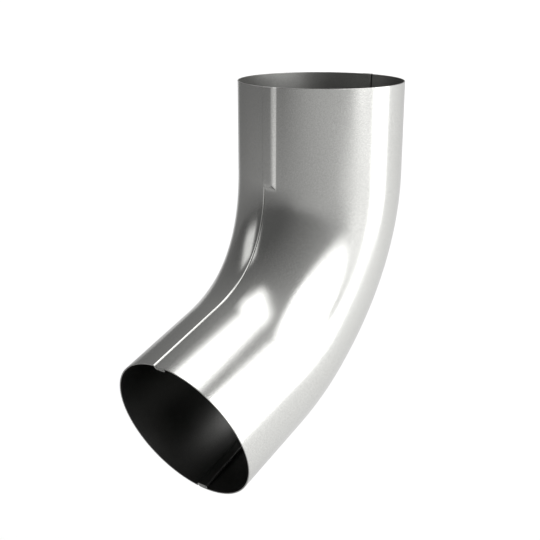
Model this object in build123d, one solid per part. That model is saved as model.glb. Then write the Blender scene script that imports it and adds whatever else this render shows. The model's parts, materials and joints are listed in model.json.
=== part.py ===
# Downspout elbow: two pressed sheet-steel halves, parted in the plane of the bend and hooked
# together along throat and heel by flat lock seams.
#
# The pipe above drops into the socket, and the spigot drops into the pipe below. So that neither
# pipe meets a lump, the locked layers stand outside the wall along the socket, step inward just
# past it, and lie inside the wall from there to the end of the spigot.
#
# Frame: millimetres, origin at the centre of the socket's mouth, +Z up out of the socket,
# outlet towards +X, bend plane XZ. The left half is on +Y, the right half on -Y.

import math
import os

from build123d import *

# Tube
pipe_diameter = 100.0
socket_clearance = 0.6
sheet = 0.7
spigot_diameter = 94.8
socket_length = 56.0
spigot_length = 56.0

# Bend
bend_angle = 70.0
bend_radius = 117.0
taper_angle = 52.5

# Lock seam
seam_width = 7.0
layer_gap = 0.08
hook_clearance = 0.3
socket_joggle_angle = 50.0
socket_joggle_radius = 0.5
spigot_joggle_angle = 78.0
spigot_joggle_radius = 0.35
least_joggle_run = 0.6
seam_shift_length = 7.6

# Flats along the seam's inward step, along the bend, round a fold and round a joggle
shift_flats = 4
bend_flats = 17
fold_flats = 5
joggle_flats = 5

socket_radius = (pipe_diameter + socket_clearance) / 2 + sheet
spigot_radius = spigot_diameter / 2
arc_length = bend_radius * math.radians(bend_angle)
taper_length = bend_radius * math.radians(taper_angle)

# The four layers of the lock: wall, hem, hem, wall
seam_shift = 3 * (sheet + layer_gap)
fold_height = 3 * sheet + 2 * layer_gap
fold_radius = fold_height / 2
fold_inner_radius = fold_radius - sheet
fold_centre = seam_width / 2 - fold_radius
hem_end = fold_centre - hook_clearance

# A joggle bends round the other half's fold, so its outer face is concentric with that fold
joggle_top_radius = fold_radius + layer_gap + sheet


def smooth(share):
    """Runs from 0 to 1 with level ends."""
    share = min(max(share, 0.0), 1.0)
    return share * share * (3 - 2 * share)


def joggle_run(lift, angle, base_radius):
    """Width of a joggle that climbs by lift at the given angle between its two bends."""
    bends = joggle_top_radius + base_radius
    steepest = math.radians(angle)
    climb_of_bends = bends * (1 - math.cos(steepest))
    if lift >= climb_of_bends:
        straight = (lift - climb_of_bends) / math.sin(steepest)
        return bends * math.sin(steepest) + straight * math.cos(steepest)
    return bends * math.sin(math.acos(1 - lift / bends))


def joggle_points(lift, run, top_radius, base_radius):
    """Points from the raised end of a joggle to its foot, as (distance from the top, drop)."""
    bends = top_radius + base_radius
    straight = math.sqrt(run**2 + lift**2 - 2 * lift * bends)
    turn = 2 * math.atan2(lift, run + straight)
    length = bends * turn + straight
    points = []
    for step in range(joggle_flats + 1):
        along = length * step / joggle_flats
        if along <= top_radius * turn:
            part = along / top_radius if turn else 0.0
            points.append((top_radius * math.sin(part), top_radius * (1 - math.cos(part))))
        elif along <= top_radius * turn + straight:
            part = along - top_radius * turn
            across = top_radius * math.sin(turn) + part * math.cos(turn)
            points.append((across, top_radius * (1 - math.cos(turn)) + part * math.sin(turn)))
        else:
            part = (length - along) / base_radius
            points.append((run - base_radius * math.sin(part), lift - base_radius * (1 - math.cos(part))))
    return points


class Station:
    """A cross-section of the tube at a distance along its centre line."""

    def __init__(self, distance):
        past_socket = distance - socket_length
        turned = min(max(past_socket, 0.0), arc_length) / bend_radius
        straight = past_socket - turned * bend_radius
        self.along = Vector(math.sin(turned), 0, -math.cos(turned))
        self.throat = Vector(math.cos(turned), 0, math.sin(turned))
        self.left = Vector(0, 1, 0)
        bend_centre = Vector(bend_radius, 0, -socket_length)
        self.centre = bend_centre - self.throat * bend_radius + self.along * straight
        self.radius = socket_radius - (socket_radius - spigot_radius) * smooth(past_socket / taper_length)
        self.lift = seam_shift * (1 - smooth(past_socket / seam_shift_length))


def half_section(station, side):
    """Closed outline of one half: side is 1 for the left half and -1 for the right one.

    Along a seam a point is given as (across, height). Across is the distance from the bend plane
    towards the half's own wall. Height starts at the face that the half's layers rise from: the
    outer face of the left half, measured outward, and the bore of the right half, measured inward.
    """
    left_half = side > 0
    lift = station.lift if left_half else seam_shift - station.lift
    face_radius = station.radius if left_half else station.radius - sheet
    outward = 1 if left_half else -1

    if left_half:
        base_radius = socket_joggle_radius
        foot = fold_centre + joggle_run(seam_shift, socket_joggle_angle, base_radius)
        run = math.hypot(joggle_run(lift, socket_joggle_angle, base_radius), least_joggle_run)
        run = min(run, foot - fold_centre)
        top = foot - run
    else:
        base_radius = spigot_joggle_radius
        top = fold_centre
        run = joggle_run(seam_shift, spigot_joggle_angle, base_radius)
        foot = top + run

    def point(end, across, height):
        turn = across / face_radius
        reach = face_radius + outward * height
        return (
            station.centre
            + station.throat * (end * reach * math.cos(turn))
            + station.left * (side * reach * math.sin(turn))
        )

    def level(end, start, stop, height):
        middle = (start + stop) / 2
        return Edge.make_three_point_arc(
            point(end, start, height), point(end, middle, height), point(end, stop, height)
        )

    def flats(points):
        return [Edge.make_line(first, last) for first, last in zip(points, points[1:])]

    def fold(end, radius, height):
        points = []
        for step in range(fold_flats + 1):
            turn = math.pi * step / fold_flats
            across = -fold_centre - radius * math.sin(turn)
            points.append(point(end, across, height - radius * (1 - math.cos(turn))))
        return flats(points)

    def joggle(end, top_radius, foot_radius, height):
        points = []
        for distance, drop in joggle_points(lift, run, top_radius, foot_radius):
            points.append(point(end, top + distance, height + lift - drop))
        return flats(points)

    def seam(end):
        under_hem = lift - fold_height
        return [
            *joggle(end, joggle_top_radius, base_radius, 0.0),
            level(end, top, -fold_centre, lift),
            *fold(end, fold_radius, lift),
            level(end, -fold_centre, hem_end, under_hem),
            Edge.make_line(point(end, hem_end, under_hem), point(end, hem_end, under_hem + sheet)),
            level(end, hem_end, -fold_centre, under_hem + sheet),
            *fold(end, fold_inner_radius, lift - sheet),
            level(end, -fold_centre, top, lift - sheet),
            *joggle(end, joggle_top_radius - sheet, base_radius + sheet, -sheet),
        ]

    def wall(height):
        crown = station.centre + station.left * (side * (face_radius + outward * height))
        return Edge.make_three_point_arc(point(1, foot, height), crown, point(-1, foot, height))

    return Wire([wall(0.0)] + seam(-1) + [wall(-sheet)] + list(reversed(seam(1))))


def half_shell(side):
    """One pressed half, from the socket's mouth to the spigot's."""
    shift_end = socket_length + seam_shift_length
    bend_end = socket_length + arc_length

    def outline(distance):
        return half_section(Station(distance), side)

    shift_stops = [socket_length + seam_shift_length * step / shift_flats for step in range(shift_flats)]
    bend_stops = [shift_end + (bend_end - shift_end) * step / bend_flats for step in range(bend_flats + 1)]

    socket = Solid.extrude(Face(outline(0.0)), Station(0.0).along * socket_length)
    bend = Solid.make_loft([outline(stop) for stop in shift_stops + bend_stops], ruled=True)
    spigot = Solid.extrude(Face(outline(bend_end)), Station(bend_end).along * spigot_length)
    return socket.fuse(bend, spigot)


left_half_shell = half_shell(1)
right_half_shell = half_shell(-1)

os.makedirs("parts", exist_ok=True)
export_step(left_half_shell, "parts/left_half_shell.step")
export_step(right_half_shell, "parts/right_half_shell.step")
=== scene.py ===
# Studio scene round the downspout elbow: both pressed halves as fine meshes with round folds,
# zinc-coated metal, camera, lamps and floor.
# Lengths are metres in the part's own frame: origin at the centre of the socket's mouth, +Z up,
# outlet towards +X. Azimuths run from +X towards +Y. Angles are written in degrees, and only
# BEND_ANGLE, which follows from the record, is in radians.

import json
import math

import bmesh
import bpy
from mathutils import Matrix, Vector


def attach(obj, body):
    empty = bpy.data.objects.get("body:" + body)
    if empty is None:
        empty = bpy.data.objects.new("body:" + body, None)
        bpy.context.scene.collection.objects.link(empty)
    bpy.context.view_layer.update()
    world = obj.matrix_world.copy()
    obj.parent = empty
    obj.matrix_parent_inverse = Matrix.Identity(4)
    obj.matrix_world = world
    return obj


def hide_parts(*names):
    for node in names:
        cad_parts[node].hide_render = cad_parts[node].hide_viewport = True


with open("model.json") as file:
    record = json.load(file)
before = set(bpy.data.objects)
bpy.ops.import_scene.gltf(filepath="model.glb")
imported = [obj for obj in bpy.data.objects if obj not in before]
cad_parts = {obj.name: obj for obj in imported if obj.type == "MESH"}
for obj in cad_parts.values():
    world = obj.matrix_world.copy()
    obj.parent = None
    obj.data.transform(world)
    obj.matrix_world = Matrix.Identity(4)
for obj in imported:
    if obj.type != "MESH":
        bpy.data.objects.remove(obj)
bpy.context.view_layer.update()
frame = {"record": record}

# Tube: its sizes come from the record's mounts, apart from the sheet's thickness and the taper
mounts = {mount["name"]: mount for mount in frame["record"]["mounts"]}
MM_PER_M = 1000
SHEET = 0.0007
SOCKET_RADIUS = mounts["socket"]["dims"]["r_mm"] / MM_PER_M + SHEET
SOCKET_LENGTH = mounts["socket"]["dims"]["length_mm"] / MM_PER_M
SPIGOT_RADIUS = mounts["spigot"]["dims"]["r_mm"] / MM_PER_M
SPIGOT_LENGTH = mounts["spigot"]["dims"]["length_mm"] / MM_PER_M
OUTLET = Vector(mounts["spigot"]["axis"])
BEND_ANGLE = math.atan2(OUTLET.x, -OUTLET.z)
BEND_RADIUS = (mounts["spigot"]["pos_m"][0] - SPIGOT_LENGTH * OUTLET.x) / (1 - math.cos(BEND_ANGLE))
ARC_LENGTH = BEND_RADIUS * BEND_ANGLE
TAPER_ANGLE = 52.5
TAPER_LENGTH = BEND_RADIUS * math.radians(TAPER_ANGLE)
TUBE_LENGTH = SOCKET_LENGTH + ARC_LENGTH + SPIGOT_LENGTH

# Lock seam: wall, hem, hem, wall
SEAM_WIDTH = 0.007
LAYER_GAP = 0.00008
HOOK_CLEARANCE = 0.0003
SOCKET_JOGGLE_ANGLE = 50.0
SOCKET_JOGGLE_RADIUS = 0.0005
SPIGOT_JOGGLE_ANGLE = 78.0
SPIGOT_JOGGLE_RADIUS = 0.00035
LEAST_JOGGLE_RUN = 0.0006
SEAM_SHIFT_LENGTH = 0.0076

# A fold holds its own sheet twice and the other half's hem between, with a gap on either side of it.
# The seam steps inward by as many layers, each with a gap.
FOLD_LAYERS = 3
SEAM_SHIFT = FOLD_LAYERS * (SHEET + LAYER_GAP)
FOLD_HEIGHT = FOLD_LAYERS * SHEET + (FOLD_LAYERS - 1) * LAYER_GAP
FOLD_RADIUS = FOLD_HEIGHT / 2
FOLD_CENTRE = SEAM_WIDTH / 2 - FOLD_RADIUS
HEM_END = FOLD_CENTRE - HOOK_CLEARANCE
JOGGLE_TOP_RADIUS = FOLD_RADIUS + LAYER_GAP + SHEET

# Fineness of the meshes, and the rounding of the sheet's cut edges
SECTION_STEP = 0.002
SHIFT_STEP = 0.0004
WALL_STEPS = 41
FOLD_STEPS = 14
JOGGLE_STEPS = 14
LEVEL_STEPS = 3
EDGE_ROUND = 0.00012
SHARP_ANGLE = 50

# Finishes, with colours as greys: the painted shade colour holds from the start of the bend down, as
# painted shade deep in the tube, strongest inside. INSIDE and CUT_EDGE are places in this list.
FINISHES = (
    {"name": "zinc_outside", "colour": 0.6, "painted_shade_colour": 0.6, "roughness": 0.17},
    # The inside is a darker copy of the zinc, as painted shade inside the tube
    {"name": "zinc_inside_shaded", "colour": 0.4, "painted_shade_colour": 0.17, "roughness": 0.38},
    {"name": "cut_edge", "colour": 0.55, "painted_shade_colour": 0.5, "roughness": 0.5},
)
INSIDE = 1
CUT_EDGE = 2
TINT = (1.0, 1.0, 0.97)
SPECULAR_TINT = (0.8, 0.8, 0.8, 1.0)

# Share of the socket's length, from its mouth down, along which the first colour holds before the painted
# shade
UNSHADED_SHARE = 0.2

# Grain and clouds of the zinc: scales count noise cells to the metre, and GRAIN_SHARE is how far
# the grain lightens and darkens the colour
GRAIN_SCALE = 1600
GRAIN_DETAIL = 2
GRAIN_SHARE = 0.09
GRAIN_STRENGTH = 0.25
GRAIN_DEPTH = 0.0001
CLOUD_SCALE = 45
CLOUD_DETAIL = 4
CLOUD_ROUGHNESS = 0.02
NOISE_LOW = 0.3
NOISE_HIGH = 0.7

# Camera, with its lens and sensor in millimetres
CAMERA_PLACE = Vector((0.4641, 0.3304, 0.0572))
CAMERA_PITCH = 17.47
CAMERA_HEADING = 128.58
CAMERA_LENS = 61.1
CAMERA_SENSOR = 36.0

# Studio: every azimuth from here on is counted from the camera's own
CAMERA_AZIMUTH = math.degrees(math.atan2(CAMERA_PLACE.y, CAMERA_PLACE.x))

# Room, darkest where the cosine of the angle from its palest direction is WORLD_DARK_COSINE
WORLD_DARK = 0.12
WORLD_PALE = 0.61
WORLD_PALE_AZIMUTH = 98
WORLD_PALE_ELEVATION = 12
WORLD_DARK_COSINE = -0.75

# Floor, and the glow that the camera sees on it: weaker near its middle, where the lamps light it
# too, than far out
FLOOR_LEVEL = -0.42
FLOOR_HALF = 40.0
FLOOR_COLOUR = 0.28
FLOOR_ROUGHNESS = 0.9
FLOOR_SPECULAR = 0.1
FLOOR_WHITE = 0.8
FLOOR_WHITE_FAR = 1.0
FLOOR_WHITE_START = 0.5
FLOOR_WHITE_STOP = 3.0

# Glow on the floor that only reflections see, a painted light that the metal mirrors: a rise across the
# room, and a paler patch on the right that is dimmer towards the front
FLOOR_MIRRORED_LEAST = 0.105
FLOOR_MIRRORED_RISE = 0.36
FLOOR_MIRRORED_RIGHT = 0.6
RISE_STRIP = {"azimuth": 55, "start": -2.6, "stop": 3.2}
RIGHT_STRIP = {"azimuth": 115, "start": -0.25, "stop": 0.2}
FRONT_STRIP = {"azimuth": 150, "start": -1.4, "stop": 0.2}

# Lamps: each is aimed at one point and seen from there under the given half angles. Where soft is
# given, it fades towards its edges over that share of its half width and height.
AIM = Vector((0.04, 0, -0.11))
LAMP_DISTANCE = 2.8
LAMPS = (
    {"name": "key", "azimuth": 54.5, "elevation": 27, "half_width": 29, "half_height": 29,
     "radiance": 1.85, "shape": "DISK", "width_azimuth": 144.5},
    {"name": "overhead", "azimuth": 146, "elevation": 84.6, "half_width": 27, "half_height": 21,
     "radiance": 2.4, "shape": "RECTANGLE", "width_azimuth": 90, "soft": 0.7},
    {"name": "side", "azimuth": -99, "elevation": 22, "half_width": 14, "half_height": 17,
     "radiance": 0.95, "shape": "RECTANGLE", "width_azimuth": -9, "soft": 0.5},
    {"name": "panel", "azimuth": 90, "elevation": 8, "half_width": 13.5, "half_height": 22,
     "radiance": 1.7, "shape": "RECTANGLE", "width_azimuth": 180, "distance": 1.2},
)

# A lamp's Parametric output runs from 0 to 1 across it
LAMP_MIDDLE = 0.5


def smooth(share):
    """Runs from 0 to 1 with level ends."""
    share = min(max(share, 0.0), 1.0)
    return share * share * (3 - 2 * share)


def direction(azimuth, elevation):
    """Unit vector at an azimuth and an elevation in degrees."""
    level = math.cos(math.radians(elevation))
    turn = math.radians(azimuth)
    return Vector((level * math.cos(turn), level * math.sin(turn), math.sin(math.radians(elevation))))


class Station:
    """A cross-section of the tube at a distance along its centre line."""

    def __init__(self, distance):
        past_socket = distance - SOCKET_LENGTH
        turned = min(max(past_socket, 0.0), ARC_LENGTH) / BEND_RADIUS
        straight = past_socket - turned * BEND_RADIUS
        along = Vector((math.sin(turned), 0, -math.cos(turned)))
        self.throat = Vector((math.cos(turned), 0, math.sin(turned)))
        self.left = Vector((0, 1, 0))
        bend_centre = Vector((BEND_RADIUS, 0, -SOCKET_LENGTH))
        self.centre = bend_centre - self.throat * BEND_RADIUS + along * straight
        self.radius = SOCKET_RADIUS - (SOCKET_RADIUS - SPIGOT_RADIUS) * smooth(past_socket / TAPER_LENGTH)
        self.lift = SEAM_SHIFT * (1 - smooth(past_socket / SEAM_SHIFT_LENGTH))
        self.edge_round = 0.0
        if distance in (0.0, TUBE_LENGTH):
            self.edge_round = EDGE_ROUND


def joggle_run(lift, angle, base_radius):
    """Width of a joggle that climbs by lift at the given angle between its two bends."""
    bends = JOGGLE_TOP_RADIUS + base_radius
    steepest = math.radians(angle)
    climb_of_bends = bends * (1 - math.cos(steepest))
    if lift >= climb_of_bends:
        straight = (lift - climb_of_bends) / math.sin(steepest)
        return bends * math.sin(steepest) + straight * math.cos(steepest)
    return bends * math.sin(math.acos(1 - lift / bends))


def joggle_line(lift, run, base_radius):
    """Points of a joggle's middle line from its top down: (distance, drop, slope)."""
    top_bend = JOGGLE_TOP_RADIUS - SHEET / 2
    foot_bend = base_radius + SHEET / 2
    bends = top_bend + foot_bend
    straight = math.sqrt(run**2 + lift**2 - 2 * lift * bends)
    turn = 2 * math.atan2(lift, run + straight)
    length = bends * turn + straight
    points = []
    for step in range(JOGGLE_STEPS + 1):
        along = length * step / JOGGLE_STEPS
        if along <= top_bend * turn:
            slope = along / top_bend
            across = top_bend * math.sin(slope)
            drop = top_bend * (1 - math.cos(slope))
        elif along <= top_bend * turn + straight:
            slope = turn
            part = along - top_bend * turn
            across = top_bend * math.sin(turn) + part * math.cos(turn)
            drop = top_bend * (1 - math.cos(turn)) + part * math.sin(turn)
        else:
            slope = (length - along) / foot_bend
            across = run - foot_bend * math.sin(slope)
            drop = lift - foot_bend * (1 - math.cos(slope))
        points.append((across, drop, slope))
    return points


def half_outline(station, side):
    """Both faces of one half at a station, hem to hem: side is 1 for the left half, -1 for the right.

    A point of the sheet's middle line is (end, across, height, lean across, lean up). End is 1 at the
    throat and -1 at the heel. Across is the distance from the bend plane towards the half's own wall.
    Height starts at the face that the half's layers rise from: the outer face of the left half,
    measured outward, and the bore of the right half, measured inward.
    """
    left_half = side > 0
    lift = station.lift if left_half else SEAM_SHIFT - station.lift
    face_radius = station.radius if left_half else station.radius - SHEET
    outward = 1 if left_half else -1

    if left_half:
        base_radius = SOCKET_JOGGLE_RADIUS
        foot = FOLD_CENTRE + joggle_run(SEAM_SHIFT, SOCKET_JOGGLE_ANGLE, base_radius)
        run = math.hypot(joggle_run(lift, SOCKET_JOGGLE_ANGLE, base_radius), LEAST_JOGGLE_RUN)
        run = min(run, foot - FOLD_CENTRE)
        top = foot - run
    else:
        base_radius = SPIGOT_JOGGLE_RADIUS
        top = FOLD_CENTRE
        run = joggle_run(SEAM_SHIFT, SPIGOT_JOGGLE_ANGLE, base_radius)
        foot = top + run

    def seam(end):
        """From the wall to the hem's cut edge."""
        layer = lift - SHEET / 2
        points = []
        for distance, drop, slope in reversed(joggle_line(lift, run, base_radius)):
            points.append((end, top + distance, layer - drop, math.sin(slope), math.cos(slope)))
        for step in range(1, LEVEL_STEPS):
            share = step / LEVEL_STEPS
            points.append((end, top - (top + FOLD_CENTRE) * share, layer, 0.0, 1.0))
        bend = FOLD_RADIUS - SHEET / 2
        for step in range(FOLD_STEPS + 1):
            turn = math.pi * step / FOLD_STEPS
            across = -FOLD_CENTRE - bend * math.sin(turn)
            height = lift - FOLD_RADIUS + bend * math.cos(turn)
            points.append((end, across, height, -math.sin(turn), math.cos(turn)))
        hem = lift - FOLD_HEIGHT + SHEET / 2
        for step in range(1, LEVEL_STEPS + 1):
            share = step / LEVEL_STEPS
            across = -FOLD_CENTRE + (HEM_END - EDGE_ROUND + FOLD_CENTRE) * share
            points.append((end, across, hem, 0.0, -1.0))
        points.append((end, HEM_END, hem, 0.0, -1.0))
        return points

    wall = []
    half_turn = math.pi * face_radius
    for step in range(1, WALL_STEPS):
        across = foot + (half_turn - 2 * foot) * step / WALL_STEPS
        wall.append((1, across, -SHEET / 2, 0.0, 1.0))
    line = list(reversed(seam(1))) + wall + seam(-1)

    def place(end, across, height):
        turn = across / face_radius
        reach = face_radius + outward * height
        throat = station.throat * (end * reach * math.cos(turn))
        return station.centre + throat + station.left * (side * reach * math.sin(turn))

    faces = []
    for sign in (1, -1):
        face = []
        for number, (end, across, height, lean_across, lean_up) in enumerate(line):
            rounding = EDGE_ROUND if number in (0, len(line) - 1) else 0.0
            offset = sign * (SHEET / 2 - max(rounding, station.edge_round))
            face.append(place(end, across + lean_across * offset, height + lean_up * offset))
        faces.append(face)
    return faces


def station_distances():
    """Distances of the stations along the centre line, closer at the mouths and at the seam's step."""
    shift_end = SOCKET_LENGTH + SEAM_SHIFT_LENGTH
    far_edge = TUBE_LENGTH - EDGE_ROUND
    spans = [
        (0.0, EDGE_ROUND, EDGE_ROUND),
        (EDGE_ROUND, 2 * EDGE_ROUND, EDGE_ROUND),
        (2 * EDGE_ROUND, SOCKET_LENGTH, SECTION_STEP),
        (SOCKET_LENGTH, shift_end, SHIFT_STEP),
        (shift_end, far_edge - EDGE_ROUND, SECTION_STEP),
        (far_edge - EDGE_ROUND, far_edge, EDGE_ROUND),
    ]
    distances = []
    for start, stop, step in spans:
        count = max(1, round((stop - start) / step))
        distances += [start + (stop - start) * number / count for number in range(count)]
    return distances + [far_edge, TUBE_LENGTH]


def half_shell(name, side):
    """One pressed half as a closed mesh; its outline's first points are on the face it rises from."""
    form = bmesh.new()
    rings = []
    for distance in station_distances():
        outer, inner = half_outline(Station(distance), side)
        rings.append([form.verts.new(point) for point in outer + list(reversed(inner))])
    size = len(rings[0])
    half_size = size // 2

    # The hems' cut edges, with the rounding on both sides of each
    cut_places = (0, half_size - 2, half_size - 1, half_size, size - 2, size - 1)
    for place, (ring, following) in enumerate(zip(rings, rings[1:])):
        for number in range(size):
            beside = (number + 1) % size
            face = form.faces.new((ring[number], ring[beside], following[beside], following[number]))
            if number in cut_places or place in (0, len(rings) - 2):
                face.material_index = CUT_EDGE
            elif (number > half_size) == (side > 0):
                face.material_index = INSIDE

    # The cut edges at both mouths
    for ring in (rings[0], rings[-1]):
        for number in range(half_size - 1):
            opposite = size - 1 - number
            face = form.faces.new((ring[number], ring[number + 1], ring[opposite - 1], ring[opposite]))
            face.material_index = CUT_EDGE
    bmesh.ops.recalc_face_normals(form, faces=form.faces)
    mesh = bpy.data.meshes.new(name)
    form.to_mesh(mesh)
    form.free()
    mesh.shade_smooth()
    mesh.set_sharp_from_angle(angle=math.radians(SHARP_ANGLE))
    shell = bpy.data.objects.new(name, mesh)
    bpy.context.scene.collection.objects.link(shell)
    return shell


def add_range(nodes, start, stop, low, high):
    """Node that maps the values from start to stop onto those from low to high."""
    node = nodes.new("ShaderNodeMapRange")
    for name, value in (("From Min", start), ("From Max", stop), ("To Min", low), ("To Max", high)):
        node.inputs[name].default_value = value
    return node


def combine(tree, operation, first, second):
    """Output of a Math node that takes two other outputs."""
    both = tree.nodes.new("ShaderNodeMath")
    both.operation = operation
    tree.links.new(first, both.inputs[0])
    tree.links.new(second, both.inputs[1])
    return both.outputs["Value"]


def add_camera():
    """Camera at the photograph's viewing angle."""
    data = bpy.data.cameras.new("camera")
    data.lens = CAMERA_LENS
    data.sensor_width = CAMERA_SENSOR
    camera = bpy.data.objects.new("camera", data)
    camera.location = CAMERA_PLACE
    camera.rotation_euler = (math.radians(90 - CAMERA_PITCH), 0, math.radians(CAMERA_HEADING))
    bpy.context.scene.collection.objects.link(camera)
    bpy.context.scene.camera = camera


def soften_edges(data, share):
    """Fades an area lamp towards its four edges, over the given share of its half width and height."""
    data.use_nodes = True
    nodes = data.node_tree.nodes
    links = data.node_tree.links
    face = nodes.new("ShaderNodeNewGeometry")
    centre = nodes.new("ShaderNodeVectorMath")
    centre.operation = "SUBTRACT"
    centre.inputs[1].default_value = (LAMP_MIDDLE, LAMP_MIDDLE, 0)
    from_centre = nodes.new("ShaderNodeVectorMath")
    from_centre.operation = "ABSOLUTE"
    axes = nodes.new("ShaderNodeSeparateXYZ")
    links.new(face.outputs["Parametric"], centre.inputs[0])
    links.new(centre.outputs["Vector"], from_centre.inputs[0])
    links.new(from_centre.outputs["Vector"], axes.inputs["Vector"])
    fades = []
    for axis in ("X", "Y"):
        fade = add_range(nodes, LAMP_MIDDLE * (1 - share), LAMP_MIDDLE, 1.0, 0.0)
        fade.interpolation_type = "SMOOTHSTEP"
        links.new(axes.outputs[axis], fade.inputs["Value"])
        fades.append(fade.outputs["Result"])
    strength = combine(data.node_tree, "MULTIPLY", *fades)
    links.new(strength, nodes["Emission"].inputs["Strength"])


def add_lamp(name, azimuth, elevation, half_width, half_height, radiance, shape, width_azimuth,
             distance=LAMP_DISTANCE, soft=0.0):
    """Soft box that faces the elbow, as wide and high as the given half angles."""
    away = direction(CAMERA_AZIMUTH + azimuth, elevation)
    data = bpy.data.lights.new(name, "AREA")
    data.shape = shape
    data.size = 2 * distance * math.tan(math.radians(half_width))
    data.size_y = 2 * distance * math.tan(math.radians(half_height))
    area = data.size * data.size_y
    if shape == "DISK":
        area = math.pi / 4 * data.size**2
    data.energy = radiance * math.pi * area
    if soft:
        soften_edges(data, soft)
    lamp = bpy.data.objects.new(name, data)
    across = direction(CAMERA_AZIMUTH + width_azimuth, 0)
    across = (across - away * across.dot(away)).normalized()
    turned = Matrix((across, away.cross(across), away)).transposed()
    lamp.matrix_world = Matrix.Translation(AIM + away * distance) @ turned.to_4x4()
    bpy.context.scene.collection.objects.link(lamp)


def add_floor():
    """Wide floor well below the elbow, which hangs by its socket.

    Camera rays see it white from every side. Glossy and transmission rays see it glow, graded and palest
    towards the right, a painted light that only the metal's reflections show. Other rays see only its
    plain colour.
    """
    half = FLOOR_HALF
    mesh = bpy.data.meshes.new("floor")
    corners = [(-half, -half), (half, -half), (half, half), (-half, half)]
    mesh.from_pydata([(x, y, FLOOR_LEVEL) for x, y in corners], [], [(0, 1, 2, 3)])
    floor = bpy.data.objects.new("floor", mesh)
    bpy.context.scene.collection.objects.link(floor)

    material = bpy.data.materials.new("floor")
    material.use_nodes = True
    tree = material.node_tree
    nodes = tree.nodes
    links = tree.links
    shader = nodes["Principled BSDF"]
    shader.inputs["Base Color"].default_value = (FLOOR_COLOUR, FLOOR_COLOUR, FLOOR_COLOUR, 1)
    shader.inputs["Roughness"].default_value = FLOOR_ROUGHNESS
    shader.inputs["Specular IOR Level"].default_value = FLOOR_SPECULAR
    shader.inputs["Emission Color"].default_value = (1, 1, 1, 1)

    place = nodes.new("ShaderNodeTexCoord")

    def ramp(strip, low, high):
        """Value that runs from low to high across a strip of the floor, towards its azimuth."""
        towards = nodes.new("ShaderNodeVectorMath")
        towards.operation = "DOT_PRODUCT"
        towards.inputs[1].default_value = direction(CAMERA_AZIMUTH + strip["azimuth"], 0)
        level = add_range(nodes, strip["start"], strip["stop"], low, high)
        level.interpolation_type = "SMOOTHSTEP"
        links.new(place.outputs["Object"], towards.inputs[0])
        links.new(towards.outputs["Value"], level.inputs["Value"])
        return level.outputs["Result"]

    away = nodes.new("ShaderNodeVectorMath")
    away.operation = "LENGTH"
    white = add_range(nodes, FLOOR_WHITE_START, FLOOR_WHITE_STOP, FLOOR_WHITE, FLOOR_WHITE_FAR)
    links.new(place.outputs["Object"], away.inputs[0])
    links.new(away.outputs["Value"], white.inputs["Value"])

    # Painted light: a glow that only reflections see, which the metal mirrors as a graded room
    rise = ramp(RISE_STRIP, FLOOR_MIRRORED_LEAST, FLOOR_MIRRORED_LEAST + FLOOR_MIRRORED_RISE)
    patch = ramp(RIGHT_STRIP, 0.0, FLOOR_MIRRORED_RIGHT)
    right = combine(tree, "MULTIPLY", patch, ramp(FRONT_STRIP, 0.0, 1.0))
    mirrored = combine(tree, "ADD", rise, right)
    rays = nodes.new("ShaderNodeLightPath")
    through = combine(tree, "MAXIMUM", rays.outputs["Is Glossy Ray"], rays.outputs["Is Transmission Ray"])
    seen = combine(tree, "MULTIPLY", white.outputs["Result"], rays.outputs["Is Camera Ray"])
    glow = combine(tree, "MAXIMUM", seen, combine(tree, "MULTIPLY", mirrored, through))
    links.new(glow, shader.inputs["Emission Strength"])
    mesh.materials.append(material)


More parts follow.
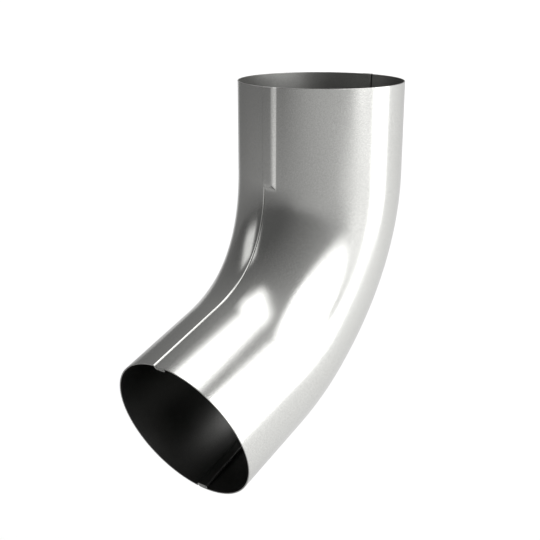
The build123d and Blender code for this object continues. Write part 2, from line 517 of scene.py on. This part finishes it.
def zinc(name, colour, painted_shade_colour, roughness):
    """Zinc-coated sheet with a fine grain in colour and relief, and clouds in its gloss.

    The colour turns into the painted shade colour from near the socket's mouth down to the start of the
    bend, as painted shade deep in the tube.
    """
    material = bpy.data.materials.new(name)
    material.use_nodes = True
    tree = material.node_tree
    nodes = tree.nodes
    links = tree.links
    shader = nodes["Principled BSDF"]
    shader.inputs["Metallic"].default_value = 1.0
    shader.inputs["Specular Tint"].default_value = SPECULAR_TINT

    place = nodes.new("ShaderNodeTexCoord")
    grain = nodes.new("ShaderNodeTexNoise")
    grain.inputs["Scale"].default_value = GRAIN_SCALE
    grain.inputs["Detail"].default_value = GRAIN_DETAIL
    cloud = nodes.new("ShaderNodeTexNoise")
    cloud.inputs["Scale"].default_value = CLOUD_SCALE
    cloud.inputs["Detail"].default_value = CLOUD_DETAIL
    for texture in (grain, cloud):
        links.new(place.outputs["Object"], texture.inputs["Vector"])

    height = nodes.new("ShaderNodeSeparateXYZ")
    # Painted shade: the colour darkens from near the socket's mouth down to the start of the bend
    base = add_range(nodes, -SOCKET_LENGTH, -UNSHADED_SHARE * SOCKET_LENGTH, painted_shade_colour, colour)
    speck = add_range(nodes, NOISE_LOW, NOISE_HIGH, 1 - GRAIN_SHARE, 1 + GRAIN_SHARE)
    links.new(place.outputs["Object"], height.inputs["Vector"])
    links.new(height.outputs["Z"], base.inputs["Value"])
    links.new(grain.outputs["Fac"], speck.inputs["Value"])
    tone = combine(tree, "MULTIPLY", base.outputs["Result"], speck.outputs["Result"])
    tint = nodes.new("ShaderNodeVectorMath")
    tint.operation = "MULTIPLY"
    tint.inputs[1].default_value = TINT
    links.new(tone, tint.inputs[0])
    links.new(tint.outputs["Vector"], shader.inputs["Base Color"])

    least_rough = roughness - CLOUD_ROUGHNESS
    most_rough = roughness + CLOUD_ROUGHNESS
    rough = add_range(nodes, NOISE_LOW, NOISE_HIGH, least_rough, most_rough)
    links.new(cloud.outputs["Fac"], rough.inputs["Value"])
    links.new(rough.outputs["Result"], shader.inputs["Roughness"])

    relief = nodes.new("ShaderNodeBump")
    relief.inputs["Strength"].default_value = GRAIN_STRENGTH
    relief.inputs["Distance"].default_value = GRAIN_DEPTH
    links.new(grain.outputs["Fac"], relief.inputs["Height"])
    links.new(relief.outputs["Normal"], shader.inputs["Normal"])
    return material


def set_world():
    """Dim room, palest low on the right."""
    world = bpy.data.worlds.new("studio")
    world.use_nodes = True
    nodes = world.node_tree.nodes
    links = world.node_tree.links
    place = nodes.new("ShaderNodeTexCoord")
    towards_pale = nodes.new("ShaderNodeVectorMath")
    towards_pale.operation = "DOT_PRODUCT"
    pale = direction(CAMERA_AZIMUTH + WORLD_PALE_AZIMUTH, WORLD_PALE_ELEVATION)
    towards_pale.inputs[1].default_value = pale
    level = add_range(nodes, WORLD_DARK_COSINE, 1.0, WORLD_DARK, WORLD_PALE)
    links.new(place.outputs["Generated"], towards_pale.inputs[0])
    links.new(towards_pale.outputs["Value"], level.inputs["Value"])
    links.new(level.outputs["Result"], nodes["Background"].inputs["Color"])
    bpy.context.scene.world = world


add_camera()
finishes = [zinc(**finish) for finish in FINISHES]
for node, side in (("left_half_shell", 1), ("right_half_shell", -1)):
    shell = half_shell("formed_" + node, side)
    for finish in finishes:
        shell.data.materials.append(finish)
    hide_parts(node)
    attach(shell, "root")

add_floor()
set_world()
for lamp in LAMPS:
    add_lamp(**lamp)

scene = bpy.context.scene
scene.view_settings.view_transform = "Standard"
